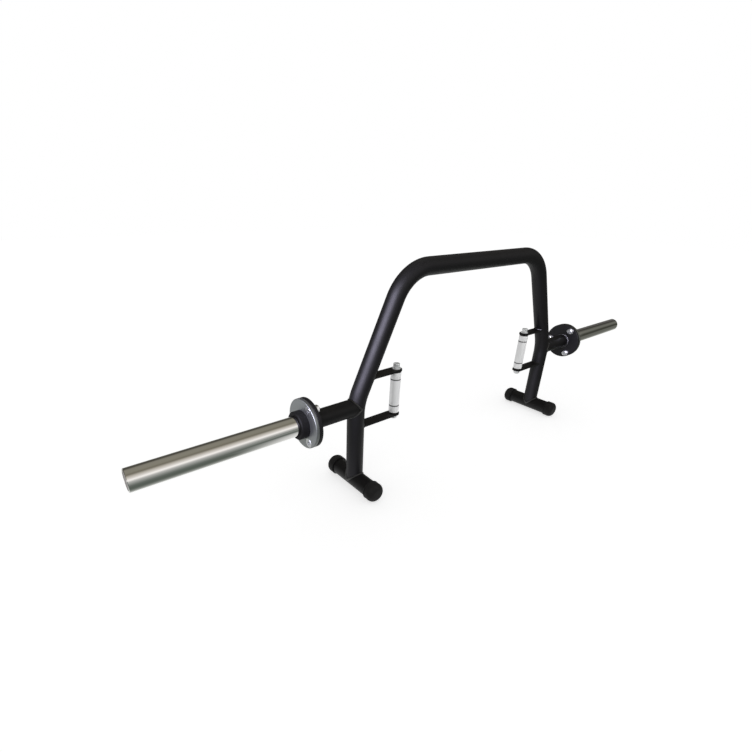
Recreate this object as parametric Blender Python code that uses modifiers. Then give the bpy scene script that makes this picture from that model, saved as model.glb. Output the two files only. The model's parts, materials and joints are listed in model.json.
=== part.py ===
"""Open-sided trap bar that stands on two T-shaped feet.

One bent tube makes an arch that the lifter steps into. Each side carries a
stub arm, to which a plate-loading sleeve is bolted through a pair of round
flanges, and an upright handle that revolves on a bolt between two brackets.

Units are metres. X runs along the bar, Y is the way the lifter faces and Z is
up. The origin is on the floor, under the middle of the bar.
"""

import math

import bmesh
import bpy
from mathutils import Matrix, Vector

# The bar as a whole
BAR_LENGTH = 1.988
SLEEVE_RISE = 0.222
HANDLE_SPACING = 0.600
HANDLE_RISE = 0.008

# Bent arch tube
TUBE_DIAMETER = 0.047
TUBE_WALL = 0.003
LEG_SPACING = 0.873
KNEE_RISE = 0.0115
KNEE_RADIUS = 0.150
SHOULDER_SPACING = 0.574
ARCH_RISE = 0.334
SHOULDER_RADIUS = 0.120

# Feet
FOOT_LENGTH = 0.188
CAP_DIAMETER = 0.054
CAP_DEPTH = 0.023
CAP_END_WALL = 0.008
CAP_EDGE_RADIUS = 0.016
CAP_LIP = 0.0015
CAP_TREAD_DEPTH = 0.0008

# Stub arms, and the bolted flanges between them and the sleeves
STUB_REACH = 0.1435
FLANGE_DIAMETER = 0.125
STUB_FLANGE_THICKNESS = 0.010
SLEEVE_FLANGE_THICKNESS = 0.009
FLANGE_EDGE_CHAMFER = 0.001
BOLT_CIRCLE = 0.098
BOLTS_PER_FLANGE = 3

# Plate-loading sleeve
SLEEVE_DIAMETER = 0.050
SLEEVE_WALL = 0.004
SLEEVE_END_CHAMFER = 0.0015
PLUG_DEPTH = 0.012
PLUG_INSET = 0.0005
COLLAR_DIAMETER = 0.070
COLLAR_LENGTH = 0.021
COLLAR_CHAMFER = 0.0025

# Handle brackets
BRACKET_GAP = 0.125
BRACKET_WIDTH = 0.032
BRACKET_THICKNESS = 0.006
BRACKET_EDGE = 0.0008

# Revolving grip
GRIP_DIAMETER = 0.0285
GRIP_WALL = 0.0035
GRIP_END_CHAMFER = 0.001
GRIP_RING_SPACING = 0.078
GRIP_RING_WIDTH = 0.0035
GRIP_RING_DEPTH = 0.0012
BUSH_DEPTH = 0.022
SPACER_DIAMETER = 0.026
SPACER_THICKNESS = 0.0025

# M12 fasteners
BOLT_DIAMETER = 0.012
CAP_HEAD_DIAMETER = 0.018
CAP_HEAD_HEIGHT = 0.012
CAP_HEAD_SOCKET = 0.010
CAP_HEAD_SOCKET_DEPTH = 0.006
FLAT_HEAD_DIAMETER = 0.024
FLAT_HEAD_SOCKET = 0.008
FLAT_HEAD_SOCKET_DEPTH = 0.0045
NUT_FLATS = 0.018
NUT_HEIGHT = 0.010
NUT_FLANGE_DIAMETER = 0.024
NUT_FLANGE_THICKNESS = 0.002
NUT_FLANGE_SLOPE = 0.002
WASHER_DIAMETER = 0.024
WASHER_THICKNESS = 0.0025
THREAD_SHOWING = 0.002
HEAD_CHAMFER = 0.001

# Clearances
FIT = 0.0003
HOLE_CLEARANCE = 0.0005

# Roundness of the pieces, in sides to a full turn
FLANGE_SIDES = 28
TUBE_SIDES = 24
WASHER_SIDES = 18
SMALL_SIDES = 12
HEX_SIDES = 6
DEGREES_PER_BEND_STEP = 9.0
CAP_EDGE_STEPS = 4
BRACKET_END_STEPS = 8
SHARP_ANGLE = 32.0
BEVEL_ANGLE = 60.0
MERGE = 0.00001

# Places that follow from the sizes above
FOOT_Z = CAP_DIAMETER / 2 - CAP_TREAD_DEPTH
SLEEVE_Z = FOOT_Z + SLEEVE_RISE
ARCH_Z = SLEEVE_Z + ARCH_RISE
HANDLE_X = HANDLE_SPACING / 2
HANDLE_Z = SLEEVE_Z + HANDLE_RISE
LEG_X = LEG_SPACING / 2
TUBE_RADIUS = TUBE_DIAMETER / 2
FLANGE_INNER_X = LEG_X + STUB_REACH
FLANGE_JOINT_X = FLANGE_INNER_X + STUB_FLANGE_THICKNESS
FLANGE_OUTER_X = FLANGE_JOINT_X + SLEEVE_FLANGE_THICKNESS
BRACKET_FACE = BRACKET_GAP / 2
SIDES = (("left", -1), ("right", 1))
UP = Vector((0, 0, 1))


def new_collection(name):
    collection = bpy.data.collections.new(name)
    bpy.context.scene.collection.children.link(collection)
    return collection


def clear_scene():
    for obj in list(bpy.data.objects):
        bpy.data.objects.remove(obj, do_unlink=True)


def make_material(name, colour, roughness, metallic=0.0):
    material = bpy.data.materials.new(name)
    material.use_nodes = True
    shader = material.node_tree.nodes["Principled BSDF"]
    shader.inputs["Base Color"].default_value = (*colour, 1.0)
    shader.inputs["Roughness"].default_value = roughness
    shader.inputs["Metallic"].default_value = metallic
    return material


def add_object(name, data, material=None, place=None):
    """Link a new object, standing at its place in the bar."""
    obj = bpy.data.objects.new(name, data)
    PARTS.objects.link(obj)
    if material:
        data.materials.append(material)
    if place:
        obj.matrix_world = place
    return obj


def standing(x=0.0, y=0.0, z=0.0, axis=UP):
    """A place whose own Z axis points along the given axis."""
    turn = UP.rotation_difference(Vector(axis)).to_matrix().to_4x4()
    return Matrix.Translation((x, y, z)) @ turn


def settle(obj):
    """Apply the modifiers and shade round faces smooth up to the sharp edges."""
    bpy.context.view_layer.update()
    evaluated = obj.evaluated_get(bpy.context.evaluated_depsgraph_get())
    mesh = bpy.data.meshes.new_from_object(evaluated)
    mesh.name = obj.name
    obj.modifiers.clear()
    obj.data = mesh
    mesh.shade_smooth()
    mesh.set_sharp_from_angle(angle=math.radians(SHARP_ANGLE))
    return obj


def as_cutter(obj):
    """Keep an object as a guide for cutting, out of the model itself."""
    for collection in list(obj.users_collection):
        collection.objects.unlink(obj)
    CUTTERS.objects.link(obj)
    obj.display_type = "WIRE"
    obj.hide_render = True
    return obj


def boolean(obj, other, operation="DIFFERENCE"):
    modifier = obj.modifiers.new(operation.title(), "BOOLEAN")
    modifier.operation = operation
    modifier.solver = "EXACT"
    modifier.object = other
    return obj


def turned(name, profile, material=None, place=None, sides=TUBE_SIDES, closed=False):
    """Turn a profile of (radius, height) points about Z, listed down the outer side."""
    mesh = bpy.data.meshes.new(name)
    points = [(radius, 0.0, height) for radius, height in profile]
    edges = [(i, i + 1) for i in range(len(points) - 1)]
    if closed:
        edges.append((len(points) - 1, 0))
    mesh.from_pydata(points, edges, [])
    obj = add_object(name, mesh, material, place)
    screw = obj.modifiers.new("Turn", "SCREW")
    screw.axis = "Z"
    screw.angle = math.tau
    screw.steps = sides
    screw.render_steps = sides
    screw.use_merge_vertices = True
    screw.merge_threshold = MERGE
    return obj


def ring_profile(outer, inner, low, high, chamfer_low=0.0, chamfer_high=0.0):
    """Outline of a ring, with its outer edges chamfered where asked."""
    profile = []
    if chamfer_high:
        profile.append((outer - chamfer_high, high))
    profile.append((outer, high - chamfer_high))
    profile.append((outer, low + chamfer_low))
    if chamfer_low:
        profile.append((outer - chamfer_low, low))
    profile.append((inner, low))
    profile.append((inner, high))
    return profile


def disc_profile(radius, low, high, chamfer=0.0):
    """Outline of a solid disc, with both edges chamfered alike."""
    profile = [(0.0, high)]
    if chamfer:
        profile.append((radius - chamfer, high))
    profile.append((radius, high - chamfer))
    profile.append((radius, low + chamfer))
    if chamfer:
        profile.append((radius - chamfer, low))
    profile.append((0.0, low))
    return profile


def corner_radius(flats):
    """Distance from a hexagon's centre to its corners, from its size across the flats."""
    return flats / 2 / math.cos(math.pi / HEX_SIDES)


def round_cutter(name, radius, low, high, place=None, sides=SMALL_SIDES):
    return as_cutter(turned(name, disc_profile(radius, low, high), None, place, sides))


def copies_of(name, mesh, places):
    """A copy of the same solid at each place, as objects of their own."""
    for number, place in enumerate(places, 1):
        add_object("%s_%d" % (name, number), mesh, None, place)


def rounded_path(corners, radii):
    """Straight runs between the corners, each inner corner rounded by an arc."""
    points = [corners[0]]
    for before, corner, after, radius in zip(corners, corners[1:], corners[2:], radii):
        back = (before - corner).normalized()
        ahead = (after - corner).normalized()
        half = back.angle(ahead) / 2
        centre = corner + (back + ahead).normalized() * radius / math.sin(half)
        start = corner + back * radius / math.tan(half)
        turn = math.pi - 2 * half
        steps = math.ceil(math.degrees(turn) / DEGREES_PER_BEND_STEP)
        axis = back.cross(ahead)
        for i in range(steps + 1):
            swing = Matrix.Rotation(-turn * i / steps, 3, axis)
            points.append(centre + swing @ (start - centre))
    points.append(corners[-1])
    return points


def round_tube(name, points, radius, caps):
    """Mesh of a round tube's outside along a path, closed at its ends if caps is set."""
    curve = bpy.data.curves.new(name, "CURVE")
    curve.dimensions = "3D"
    curve.bevel_depth = radius
    curve.bevel_resolution = (TUBE_SIDES - 4) // 2
    curve.use_fill_caps = caps
    spline = curve.splines.new("POLY")
    spline.points.add(len(points) - 1)
    for point, place in zip(spline.points, points):
        point.co = (*place, 1.0)
    return curve_to_mesh(name, curve)


def curve_to_mesh(name, curve):
    """Turn a curve into a mesh object whose caps are welded to its sides."""
    guide = add_object(name + "_guide", curve)
    bpy.context.view_layer.update()
    evaluated = guide.evaluated_get(bpy.context.evaluated_depsgraph_get())
    mesh = bpy.data.meshes.new_from_object(evaluated)
    mesh.name = name
    shape = bmesh.new()
    shape.from_mesh(mesh)
    bmesh.ops.remove_doubles(shape, verts=shape.verts, dist=MERGE)
    shape.to_mesh(mesh)
    shape.free()
    obj = add_object(name, mesh)
    obj.matrix_world = guide.matrix_world
    bpy.data.objects.remove(guide, do_unlink=True)
    return obj


def arch_corners():
    """Corners of the arch tube's centre line, from the left foot to the right."""
    half = [
        Vector((LEG_X, 0, FOOT_Z)),
        Vector((LEG_X, 0, SLEEVE_Z + KNEE_RISE)),
        Vector((SHOULDER_SPACING / 2, 0, ARCH_Z)),
    ]
    mirrored = [Vector((-point.x, point.y, point.z)) for point in half]
    return mirrored + half[::-1]


def arch_path():
    radii = [KNEE_RADIUS, SHOULDER_RADIUS, SHOULDER_RADIUS, KNEE_RADIUS]
    return rounded_path(arch_corners(), radii)


def leg_x_at(height):
    """Distance from the middle to the leg's centre line at a height."""
    rising = arch_path()
    for low, high in zip(rising, rising[1:]):
        if low.z <= height < high.z:
            share = (height - low.z) / (high.z - low.z)
            return abs(low.lerp(high, share).x)
    return LEG_X


def make_arch():
    """The bent tube, saddled at both ends to sit on the foot tubes."""
    points = arch_path()
    arch = round_tube("arch_tube", points, TUBE_RADIUS, caps=False)
    arch.data.materials.append(BLACK_FRAME)
    wall = arch.modifiers.new("Wall", "SOLIDIFY")
    wall.thickness = TUBE_WALL
    wall.offset = -1
    wall.use_even_offset = True
    for side, sign in SIDES:
        place = standing(sign * LEG_X, 0, FOOT_Z, (0, 1, 0))
        saddle = round_cutter("saddle_cutter_" + side, TUBE_RADIUS + FIT,
                              -TUBE_DIAMETER, TUBE_DIAMETER, place, TUBE_SIDES)
        boolean(arch, saddle)
    settle(arch)
    return as_cutter(round_tube("arch_envelope", points, TUBE_RADIUS + FIT, caps=True))


def make_foot(side, sign):
    """Cross tube under a leg, with a rubber cap pushed over each end."""
    bore = TUBE_RADIUS - TUBE_WALL
    half = FOOT_LENGTH / 2
    place = standing(sign * LEG_X, 0, FOOT_Z, (0, 1, 0))
    settle(turned("foot_tube_" + side, ring_profile(TUBE_RADIUS, bore, -half, half),
                  BLACK_FRAME, place, closed=True))
    tread = tread_cutter(side, sign)
    for end, facing in (("front", -1), ("back", 1)):
        seat = facing * (half + FIT)
        place = standing(sign * LEG_X, seat, FOOT_Z, (0, facing, 0))
        cap = turned("foot_cap_%s_%s" % (side, end), cap_profile(), RUBBER, place)
        boolean(cap, tread)
        settle(cap)


def cap_profile():
    """Half section of a cap. Height 0 is where the tube's end rests inside it."""
    outer = CAP_DIAMETER / 2
    bore = TUBE_RADIUS + FIT
    edge = CAP_EDGE_RADIUS
    corner = outer - edge
    profile = [(0.0, CAP_END_WALL)]
    for i in range(CAP_EDGE_STEPS + 1):
        angle = math.pi / 2 * (1 - i / CAP_EDGE_STEPS)
        profile.append((corner + edge * math.cos(angle),
                        CAP_END_WALL - edge + edge * math.sin(angle)))
    profile.append((outer, -CAP_DEPTH + CAP_LIP))
    profile.append((outer - CAP_LIP, -CAP_DEPTH))
    profile.append((bore, -CAP_DEPTH))
    profile.append((bore, 0.0))
    profile.append((0.0, 0.0))
    return profile


def tread_cutter(side, sign):
    """Block below the floor line that leaves each cap a flat tread."""
    mesh = bpy.data.meshes.new("tread_cutter_" + side)
    shape = bmesh.new()
    size = Matrix.Diagonal((CAP_DIAMETER, 2 * FOOT_LENGTH, CAP_DIAMETER, 1))
    drop = Matrix.Translation((sign * LEG_X, 0, -CAP_DIAMETER / 2))
    bmesh.ops.create_cube(shape, size=1.0, matrix=drop @ size)
    shape.to_mesh(mesh)
    shape.free()
    return as_cutter(add_object(mesh.name, mesh))


def bolt_places(x, sign, facing):
    """Places of a flange's bolts at a distance x from the middle, each facing along X."""
    places = []
    for i in range(BOLTS_PER_FLANGE):
        angle = math.tau * i / BOLTS_PER_FLANGE
        y = BOLT_CIRCLE / 2 * math.cos(angle)
        z = SLEEVE_Z + BOLT_CIRCLE / 2 * math.sin(angle)
        places.append(standing(sign * x, y, z, (facing, 0, 0)))
    return places


def make_stub(side, sign, arch_envelope):
    """Stub arm from the leg's knee out to its round flange."""
    bore = TUBE_RADIUS - TUBE_WALL
    reach = FLANGE_INNER_X - FIT - LEG_X
    place = standing(sign * LEG_X, 0, SLEEVE_Z, (sign, 0, 0))
    arm = turned("stub_arm_" + side, ring_profile(TUBE_RADIUS, bore, 0, reach),
                 BLACK_FRAME, place, closed=True)
    boolean(arm, arch_envelope)
    settle(arm)

    place = standing(sign * FLANGE_INNER_X, 0, SLEEVE_Z, (sign, 0, 0))
    face = STUB_FLANGE_THICKNESS - FIT
    flange = turned("stub_flange_" + side,
                    disc_profile(FLANGE_DIAMETER / 2, 0, face, FLANGE_EDGE_CHAMFER),
                    BLACK_FRAME, place, FLANGE_SIDES)
    hole = BOLT_DIAMETER / 2 + HOLE_CLEARANCE
    for i, spot in enumerate(bolt_places(FLANGE_INNER_X, sign, sign)):
        boolean(flange, round_cutter("stub_hole_%s_%d" % (side, i), hole,
                                     -STUB_FLANGE_THICKNESS, 2 * STUB_FLANGE_THICKNESS, spot))
    settle(flange)


def flat_head_profile(clearance=0.0, reach=0.0):
    """Countersunk bolt, its head's face at height 0 and its shank below it."""
    head = FLAT_HEAD_DIAMETER / 2 + clearance
    shank = BOLT_DIAMETER / 2 + clearance
    rim = HEAD_CHAMFER
    slope = head - shank
    profile = [(0.0, clearance), (head, clearance), (head, -rim), (shank, -rim - slope)]
    profile.append((shank, -reach))
    profile.append((0.0, -reach))
    return profile


def make_sleeve(side, sign):
    """Bolted sleeve: its flange, stop collar, chromed tube and end plug."""
    outward = (sign, 0, 0)
    place = standing(sign * FLANGE_JOINT_X, 0, SLEEVE_Z, outward)
    flange = turned("sleeve_flange_" + side,
                    ring_profile(FLANGE_DIAMETER / 2, SLEEVE_DIAMETER / 2 + FIT, 0,
                                 SLEEVE_FLANGE_THICKNESS, FLANGE_EDGE_CHAMFER,
                                 FLANGE_EDGE_CHAMFER),
                    ZINC, place, FLANGE_SIDES, closed=True)
    for i, spot in enumerate(bolt_places(FLANGE_OUTER_X, sign, sign)):
        sink = turned("sink_cutter_%s_%d" % (side, i),
                      flat_head_profile(FIT, 2 * SLEEVE_FLANGE_THICKNESS), None, spot,
                      SMALL_SIDES)
        boolean(flange, as_cutter(sink))
    settle(flange)

    place = standing(sign * (FLANGE_OUTER_X + FIT), 0, SLEEVE_Z, outward)
    settle(turned("stop_collar_" + side,
                  ring_profile(COLLAR_DIAMETER / 2, SLEEVE_DIAMETER / 2 + FIT, 0,
                               COLLAR_LENGTH, FLANGE_EDGE_CHAMFER, COLLAR_CHAMFER),
                  BLACK_COLLAR, place, FLANGE_SIDES, closed=True))

    end = BAR_LENGTH / 2 - FLANGE_JOINT_X
    bore = SLEEVE_DIAMETER / 2 - SLEEVE_WALL
    place = standing(sign * FLANGE_JOINT_X, 0, SLEEVE_Z, outward)
    settle(turned("load_sleeve_" + side,
                  ring_profile(SLEEVE_DIAMETER / 2, bore, 0, end, 0.0, SLEEVE_END_CHAMFER),
                  CHROME, place, closed=True))

    place = standing(sign * (BAR_LENGTH / 2 - PLUG_INSET), 0, SLEEVE_Z, outward)
    settle(turned("sleeve_end_plug_" + side,
                  disc_profile(bore - FIT, -PLUG_DEPTH, 0, HEAD_CHAMFER), CHROME, place))


def nut_mesh():
    """Flanged hexagon nut, its flange resting on height 0, with a plain bore."""
    corner = corner_radius(NUT_FLATS)
    flange = NUT_FLANGE_DIAMETER / 2
    skirt = NUT_FLANGE_THICKNESS + NUT_FLANGE_SLOPE
    profile = [(0.0, NUT_HEIGHT), (corner - HEAD_CHAMFER, NUT_HEIGHT),
               (corner, NUT_HEIGHT - HEAD_CHAMFER), (corner, NUT_FLANGE_THICKNESS / 2),
               (0.0, NUT_FLANGE_THICKNESS / 2)]
    nut = turned("flanged_nut", profile, ZINC, None, HEX_SIDES)
    profile = [(0.0, skirt), (NUT_FLATS / 2, skirt), (flange, NUT_FLANGE_THICKNESS),
               (flange, 0.0), (0.0, 0.0)]
    boolean(nut, as_cutter(turned("nut_flange", profile, None, None, WASHER_SIDES)), "UNION")
    boolean(nut, round_cutter("nut_bore", BOLT_DIAMETER / 2 + FIT, -NUT_HEIGHT,
                              2 * NUT_HEIGHT))
    return take_mesh(nut)


def flat_head_bolt_mesh(reach):
    """Countersunk socket bolt whose head's face is at height 0."""
    bolt = turned("flat_head_bolt", flat_head_profile(0.0, reach), ZINC, None, SMALL_SIDES)
    boolean(bolt, round_cutter("flat_head_socket", corner_radius(FLAT_HEAD_SOCKET),
                               -FLAT_HEAD_SOCKET_DEPTH, FLAT_HEAD_SOCKET_DEPTH,
                               sides=HEX_SIDES))
    return take_mesh(bolt)


def take_mesh(obj):
    """Settle a model object and keep only its mesh, for copying."""
    mesh = settle(obj).data
    bpy.data.objects.remove(obj, do_unlink=True)
    return mesh


def make_flange_fasteners(side, sign, nut):
    """Bolts entered from the sleeve side, each with a nut against the stub's flange."""
    stack = FLANGE_OUTER_X - FLANGE_INNER_X + FIT + NUT_HEIGHT
    bolt = flat_head_bolt_mesh(stack + THREAD_SHOWING)
    copies_of("flange_bolt_" + side, bolt, bolt_places(FLANGE_OUTER_X, sign, sign))
    copies_of("flange_nut_" + side, nut, bolt_places(FLANGE_INNER_X - FIT, sign, -sign))


def bracket_blank(name, reach):
    """Flat bar that runs from a round end about the handle bolt to the leg's centre line."""
    curve = bpy.data.curves.new(name, "CURVE")
    curve.dimensions = "2D"
    curve.fill_mode = "BOTH"
    curve.extrude = BRACKET_THICKNESS / 2
    half = BRACKET_WIDTH / 2
    outline = [(-reach, -half)]
    for i in range(BRACKET_END_STEPS + 1):
        angle = -math.pi / 2 + math.pi * i / BRACKET_END_STEPS
        outline.append((half * math.cos(angle), half * math.sin(angle)))
    outline.append((-reach, half))
    spline = curve.splines.new("POLY")
    spline.points.add(len(outline) - 1)
    spline.use_cyclic_u = True
    for point, (x, y) in zip(spline.points, outline):
        point.co = (x, y, 0.0, 1.0)
    return curve_to_mesh(name, curve)


def make_brackets(side, sign, arch_envelope):
    """Upper and lower plates that hold the handle bolt, saddled to the leg."""
    inward = Matrix.Rotation(0.0 if sign < 0 else math.pi, 4, "Z")
    for level, way in (("upper", 1), ("lower", -1)):
        z = HANDLE_Z + way * (BRACKET_FACE + BRACKET_THICKNESS / 2)
        bracket = bracket_blank("handle_bracket_%s_%s" % (side, level), leg_x_at(z) - HANDLE_X)
        bracket.data.materials.append(BLACK_FRAME)
        bracket.matrix_world = Matrix.Translation((sign * HANDLE_X, 0, z)) @ inward
        edge = bracket.modifiers.new("Edge", "BEVEL")
        edge.width = BRACKET_EDGE
        edge.segments = 1
        edge.limit_method = "ANGLE"
        edge.angle_limit = math.radians(BEVEL_ANGLE)
        boolean(bracket, arch_envelope)
        hole = round_cutter("bracket_hole_%s_%s" % (side, level),
                            BOLT_DIAMETER / 2 + HOLE_CLEARANCE,
                            -BRACKET_THICKNESS, BRACKET_THICKNESS,
                            standing(sign * HANDLE_X, 0, z))
        boolean(bracket, hole)
        settle(bracket)


def make_handle_bolt(side, sign, nut):
    """Socket-head bolt down through both brackets, with a washer and a nut."""
    top = HANDLE_Z + BRACKET_FACE + BRACKET_THICKNESS
    bottom = HANDLE_Z - BRACKET_FACE - BRACKET_THICKNESS
    head_z = top + WASHER_THICKNESS + 2 * FIT
    nut_z = bottom - FIT
    reach = head_z - nut_z + NUT_HEIGHT + THREAD_SHOWING
    head = CAP_HEAD_DIAMETER / 2
    shank = BOLT_DIAMETER / 2
    profile = [
        (0.0, CAP_HEAD_HEIGHT),
        (head - HEAD_CHAMFER, CAP_HEAD_HEIGHT),
        (head, CAP_HEAD_HEIGHT - HEAD_CHAMFER),
        (head, 0.0),
        (shank, 0.0),
        (shank, HEAD_CHAMFER - reach),
        (shank - HEAD_CHAMFER, -reach),
        (0.0, -reach),
    ]
    x = sign * HANDLE_X
    bolt = turned("handle_bolt_" + side, profile, ZINC, standing(x, 0, head_z), SMALL_SIDES)
    boolean(bolt, round_cutter("cap_head_socket_" + side, corner_radius(CAP_HEAD_SOCKET),
                               CAP_HEAD_HEIGHT - CAP_HEAD_SOCKET_DEPTH,
                               CAP_HEAD_HEIGHT + CAP_HEAD_SOCKET_DEPTH,
                               standing(x, 0, head_z), HEX_SIDES))
    settle(bolt)

    settle(turned("handle_washer_" + side,
                  ring_profile(WASHER_DIAMETER / 2, shank + HOLE_CLEARANCE, 0,
                               WASHER_THICKNESS),
                  ZINC, standing(x, 0, top + FIT), WASHER_SIDES, closed=True))
    add_object("handle_nut_" + side, nut, None, standing(x, 0, nut_z, (0, 0, -1)))


def grip_profile(half, outer, inner):
    """Section of the grip's tube, with a shallow groove for each dark ring."""
    floor = outer - GRIP_RING_DEPTH
    profile = [(outer - GRIP_END_CHAMFER, half), (outer, half - GRIP_END_CHAMFER)]
    for centre in (GRIP_RING_SPACING / 2, -GRIP_RING_SPACING / 2):
        high = centre + GRIP_RING_WIDTH / 2
        low = centre - GRIP_RING_WIDTH / 2
        profile += [(outer, high), (floor, high), (floor, low), (outer, low)]
    profile += [(outer, GRIP_END_CHAMFER - half), (outer - GRIP_END_CHAMFER, -half)]
    profile += [(inner, -half), (inner, half)]
    return profile


def make_grip(side, sign):
    """Revolving grip: tube, two bushes, two dark rings, and spacers at its ends."""
    pivot = bpy.data.objects.new("grip_axis_" + side, None)
    PARTS.objects.link(pivot)
    pivot.location = (sign * HANDLE_X, 0, HANDLE_Z)
    bpy.context.view_layer.update()

    half = BRACKET_FACE - SPACER_THICKNESS - 2 * FIT
    outer = GRIP_DIAMETER / 2
    inner = outer - GRIP_WALL
    bolt_hole = BOLT_DIAMETER / 2 + FIT
    pieces = [turned("grip_tube_" + side, grip_profile(half, outer, inner), GRIP_METAL,
                     closed=True)]
    for level, way in (("upper", 1), ("lower", -1)):
        low, high = sorted((way * half, way * (half - BUSH_DEPTH)))
        pieces.append(turned("grip_bush_%s_%s" % (side, level),
                             ring_profile(inner - FIT, bolt_hole, low, high),
                             NYLON, None, SMALL_SIDES, closed=True))
        centre = way * GRIP_RING_SPACING / 2
        spread = GRIP_RING_WIDTH / 2 - FIT
        pieces.append(turned("grip_ring_%s_%s" % (side, level),
                             ring_profile(outer, outer - GRIP_RING_DEPTH + FIT,
                                          centre - spread, centre + spread),
                             RING_BLACK, closed=True))
    for piece in pieces:
        piece.parent = pivot
        settle(piece)

    for level, low in (("upper", HANDLE_Z + BRACKET_FACE - FIT - SPACER_THICKNESS),
                       ("lower", HANDLE_Z - BRACKET_FACE + FIT)):
        settle(turned("grip_spacer_%s_%s" % (side, level),
                      ring_profile(SPACER_DIAMETER / 2, bolt_hole, 0, SPACER_THICKNESS),
                      NYLON, standing(sign * HANDLE_X, 0, low), WASHER_SIDES, closed=True))


def main():
    arch_envelope = make_arch()
    nut = nut_mesh()
    for side, sign in SIDES:
        make_foot(side, sign)
        make_stub(side, sign, arch_envelope)
        make_sleeve(side, sign)
        make_flange_fasteners(side, sign, nut)
        make_brackets(side, sign, arch_envelope)
        make_handle_bolt(side, sign, nut)
        make_grip(side, sign)


clear_scene()
PARTS = new_collection("trap_bar")
CUTTERS = new_collection("cutters")
BLACK_FRAME = make_material("black_frame", (0.012, 0.012, 0.013), 0.42)
BLACK_COLLAR = make_material("black_collar", (0.014, 0.014, 0.016), 0.35)
RUBBER = make_material("rubber", (0.016, 0.016, 0.016), 0.75)
CHROME = make_material("chrome", (0.78, 0.78, 0.76), 0.10, 1.0)
ZINC = make_material("zinc", (0.46, 0.47, 0.46), 0.32, 1.0)
GRIP_METAL = make_material("grip_metal", (0.80, 0.80, 0.80), 0.22, 1.0)
RING_BLACK = make_material("ring_black", (0.03, 0.03, 0.03), 0.55)
NYLON = make_material("nylon", (0.05, 0.05, 0.05), 0.50)
main()
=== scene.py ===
import json
import math

import bmesh
import bpy
from mathutils import Matrix, Vector

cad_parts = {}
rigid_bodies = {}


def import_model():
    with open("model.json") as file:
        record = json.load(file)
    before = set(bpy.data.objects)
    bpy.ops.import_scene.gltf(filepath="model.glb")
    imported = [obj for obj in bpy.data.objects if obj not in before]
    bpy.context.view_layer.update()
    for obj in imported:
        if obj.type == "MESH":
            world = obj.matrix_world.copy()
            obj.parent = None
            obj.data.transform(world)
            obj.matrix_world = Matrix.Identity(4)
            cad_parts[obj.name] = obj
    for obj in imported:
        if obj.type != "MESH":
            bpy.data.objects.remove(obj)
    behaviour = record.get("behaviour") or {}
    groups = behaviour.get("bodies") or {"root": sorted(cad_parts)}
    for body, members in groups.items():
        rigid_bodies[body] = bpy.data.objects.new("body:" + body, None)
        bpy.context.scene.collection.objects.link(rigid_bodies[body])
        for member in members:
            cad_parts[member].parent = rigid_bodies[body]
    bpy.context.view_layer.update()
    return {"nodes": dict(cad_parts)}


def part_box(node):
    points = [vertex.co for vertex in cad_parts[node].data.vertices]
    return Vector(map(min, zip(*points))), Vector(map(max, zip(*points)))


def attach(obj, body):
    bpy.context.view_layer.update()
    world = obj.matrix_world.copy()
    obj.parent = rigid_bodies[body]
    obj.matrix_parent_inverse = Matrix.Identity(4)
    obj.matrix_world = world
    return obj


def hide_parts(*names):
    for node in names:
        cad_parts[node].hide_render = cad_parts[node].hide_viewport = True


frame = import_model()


# Sizes read from the frame, in metres

def middle(node):
    low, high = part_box(node)
    return (Vector(low) + Vector(high)) / 2


def extent(node):
    low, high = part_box(node)
    return Vector(high) - Vector(low)


def span(node, axis):
    """Where a node starts and ends along one axis."""
    return [corner[axis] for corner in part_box(node)]


TUBE_RADIUS = extent("foot_tube_right").z / 2
FOOT_Z = middle("foot_tube_right").z
LEG_X = middle("foot_tube_right").x
FOOT_HALF = extent("foot_tube_right").y / 2
ARCH_Z = span("arch_tube", 2)[1] - TUBE_RADIUS
SLEEVE_Z = middle("load_sleeve_right").z
SLEEVE_RADIUS = extent("load_sleeve_right").z / 2
SLEEVE_START, SLEEVE_END = span("load_sleeve_right", 0)
PLUG_FACE = span("sleeve_end_plug_right", 0)[1]
PLUG_RADIUS = extent("sleeve_end_plug_right").z / 2
PLUG_DEPTH = extent("sleeve_end_plug_right").x
STUB_FLANGE = span("stub_flange_right", 0)
SLEEVE_FLANGE = span("sleeve_flange_right", 0)
FLANGE_RADIUS = extent("sleeve_flange_right").y / 2
COLLAR = span("stop_collar_right", 0)
COLLAR_RADIUS = extent("stop_collar_right").y / 2
BOLT_CIRCLE = middle("flange_bolt_right_1").y
BOLT_HEAD_RADIUS = extent("flange_bolt_right_1").y / 2
BOLT_TIP = span("flange_bolt_right_1", 0)[0]
NUT_FOOT = span("flange_nut_right_1", 0)[1]
NUT_HEIGHT = extent("flange_nut_right_1").x
NUT_FLANGE_RADIUS = extent("flange_nut_right_1").y / 2
HANDLE_X = middle("handle_bolt_right").x
GRIP_Z = middle("grip_tube_right").z
GRIP_HALF = extent("grip_tube_right").z / 2
GRIP_RADIUS = extent("grip_tube_right").x / 2
RING_RISE = middle("grip_ring_right_upper").z - GRIP_Z
RING_HALF = extent("grip_ring_right_upper").z / 2
SPACER_RADIUS = extent("grip_spacer_right_upper").x / 2
WASHER_RADIUS = extent("handle_washer_right").x / 2
HEAD_RADIUS = extent("handle_bolt_right").x / 2
CAP_RADIUS = extent("foot_cap_right_back").x / 2
CAP_INNER, CAP_OUTER = span("foot_cap_right_back", 1)

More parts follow.
